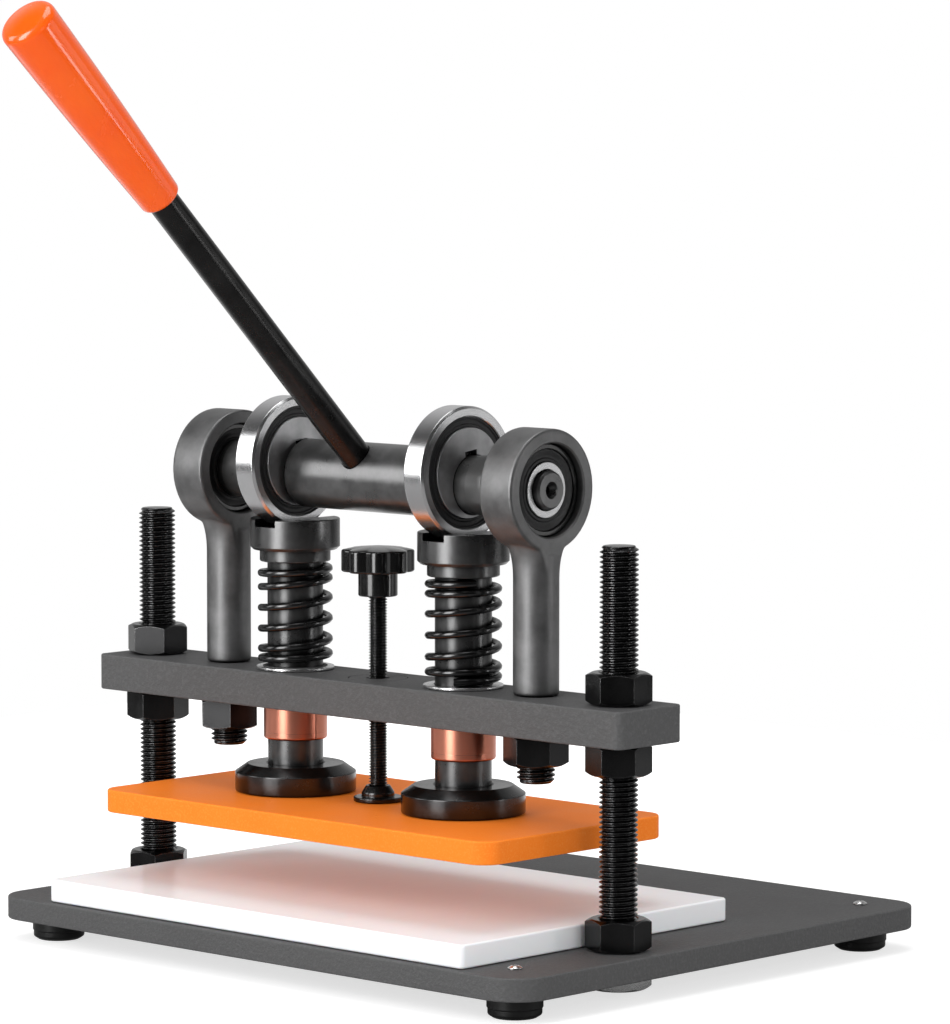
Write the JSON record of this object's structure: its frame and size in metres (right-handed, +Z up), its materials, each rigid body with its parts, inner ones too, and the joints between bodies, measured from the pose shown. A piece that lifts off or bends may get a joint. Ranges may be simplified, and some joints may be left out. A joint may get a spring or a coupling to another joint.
{
  "type": "leather die cutting press",
  "caption": "Hand lever press: a leaning lever turns cams on rollers that push two sprung plungers and a plate down on a cutting board between threaded rods.",
  "frame": {"origin": "on the surface that the feet stand on, under the middle of the outline", "axes": "+X along the crossbar to the right seen from the front, +Y to the back, +Z up. The lever leans and is pulled towards -Y"},
  "size_m": [0.3816, 0.4652, 0.4935],
  "materials": {
    "black_paint": "fine textured satin charcoal",
    "orange_paint": "satin orange",
    "black_oxide": "glossy black oxide",
    "dark_steel": "satin dark oxide",
    "bearing_steel": "ground and polished",
    "zinc": "bright zinc",
    "copper": "bright copper",
    "black_plastic": "gloss",
    "orange_plastic": "gloss",
    "rubber": "satin",
    "seal": "satin",
    "white_board": "smooth"
  },
  "bodies": {
    "frame": {"base_plate": "black_paint", "foot_front_left": "rubber", "foot_back_left": "rubber", "foot_front_right": "rubber", "foot_back_right": "rubber", "foot_screw_front_left": "zinc", "foot_screw_back_left": "zinc", "foot_screw_front_right": "zinc", "foot_screw_back_right": "zinc", "threaded_rod_left": "black_oxide", "threaded_rod_right": "black_oxide", "base_nut_left": "black_oxide", "base_nut_right": "black_oxide", "under_nut_left": "zinc", "under_nut_right": "zinc"},
    "head": {"crossbar": "black_paint", "screw_bush": "dark_steel", "lower_nut_left": "black_oxide", "lower_nut_right": "black_oxide", "upper_nut_left": "black_oxide", "upper_nut_right": "black_oxide", "eye_bolt_left": "dark_steel", "eye_bolt_right": "dark_steel", "eye_nut_left": "black_oxide", "eye_nut_right": "black_oxide", "eye_bearing_ring_left": "bearing_steel", "eye_bearing_ring_right": "bearing_steel", "eye_bearing_seal_left": "seal", "eye_bearing_seal_right": "seal", "guide_bush_left": "copper", "guide_bush_right": "copper", "spring_washer_left": "zinc", "spring_washer_right": "zinc"},
    "lever": {"camshaft": "dark_steel", "lever_rod": "black_oxide", "lever_grip": "orange_plastic", "cam_left": "bearing_steel", "cam_right": "bearing_steel", "eye_bearing_hub_left": "bearing_steel", "eye_bearing_hub_right": "bearing_steel"},
    "roller_left": {"roller_ring_left": "bearing_steel", "roller_seal_left": "seal"},
    "roller_right": {"roller_ring_right": "bearing_steel", "roller_seal_right": "seal"},
    "press": {"pressing_plate": "orange_paint", "follower_cap_left": "dark_steel", "follower_cap_right": "dark_steel", "plunger_left": "dark_steel", "plunger_right": "dark_steel", "pressure_pad_left": "black_oxide", "pressure_pad_right": "black_oxide", "plate_screw_left": "zinc", "plate_screw_right": "zinc", "spring_left": "black_oxide", "spring_right": "black_oxide"},
    "screw_foot": {"swivel_foot": "black_oxide"},
    "screw": {"adjusting_screw": "black_oxide", "star_knob": "black_plastic"},
    "board": {"cutting_board": "white_board"}
  },
  "joints": [
    {"name": "head_height", "type": "slide", "parent": "frame", "child": "head", "axis": [0, 0, 1], "range_m": [-0.022, 0.055]},
    {"name": "lever_hinge", "type": "hinge", "parent": "head", "child": "lever", "pos_m": [0, 0.01388, 0.251], "axis": [1, 0, 0], "range_deg": [0, 80]},
    {"name": "roller_spin_left", "type": "hinge", "parent": "lever", "child": "roller_left", "pos_m": [-0.061, 0.01027, 0.25723], "axis": [1, 0, 0], "continuous": true},
    {"name": "roller_spin_right", "type": "hinge", "parent": "lever", "child": "roller_right", "pos_m": [0.061, 0.01027, 0.25723], "axis": [1, 0, 0], "continuous": true},
    {"name": "press_slide", "type": "slide", "parent": "head", "child": "press", "axis": [0, 0, -1], "range_m": [0, 0.0088], "stiffness_N_per_m": 30000, "springref_m": -0.01, "deforming": ["spring_left", "spring_right"]},
    {"name": "screw_feed", "type": "slide", "parent": "head", "child": "screw_foot", "axis": [0, 0, 1], "range_m": [0, 0.012]},
    {"name": "screw_turn", "type": "hinge", "parent": "screw_foot", "child": "screw", "pos_m": [0, 0.01388, 0.15], "axis": [0, 0, 1], "range_deg": [0, 2880]},
    {"name": "board_slide", "type": "slide", "parent": "frame", "child": "board", "axis": [0, 1, 0], "range_m": [-0.09, 0.11]}
  ],
  "couplings": [
    {"joint": "press_slide", "follows": "lever_hinge", "m_per_rad": 0.0062295},
    {"joint": "screw_turn", "follows": "screw_feed", "rad_per_m": 4188.8}
  ]
}
